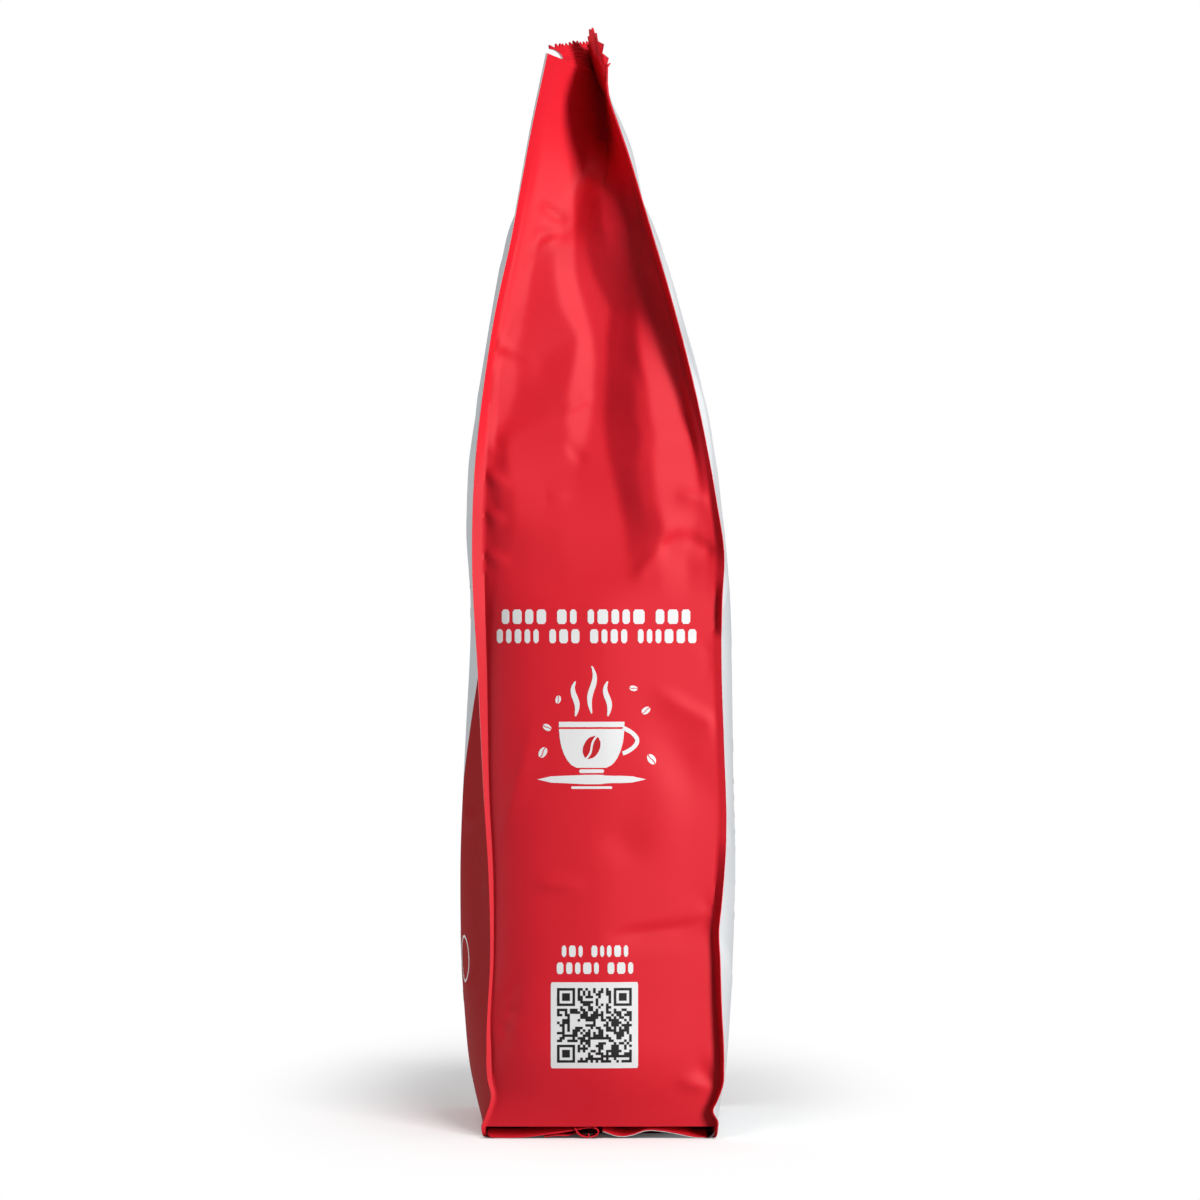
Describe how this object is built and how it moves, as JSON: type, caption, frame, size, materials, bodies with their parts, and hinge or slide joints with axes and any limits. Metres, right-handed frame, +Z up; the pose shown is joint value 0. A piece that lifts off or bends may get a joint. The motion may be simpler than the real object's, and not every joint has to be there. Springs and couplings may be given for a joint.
{
  "type": "coffee bag",
  "caption": "Tall filled side-gusset coffee bag of matte red film with sealed corner fins, a saw-tooth crimp across the top and a folded base, standing upright.",
  "frame": {"origin": "middle of the base, on the surface that the bag stands on", "axes": "+Z up along the bag; the red near gusset faces -Y, the front panel faces -X and the white back panel faces +X"},
  "size_m": [0.1011, 0.146, 0.3998],
  "materials": {
    "bag_film": "soft-touch matte printed laminate, red gussets, silver-grey and dark red front, white back"
  },
  "bodies": {
    "root": {"coffee_bag": "bag_film"}
  },
  "joints": []
}
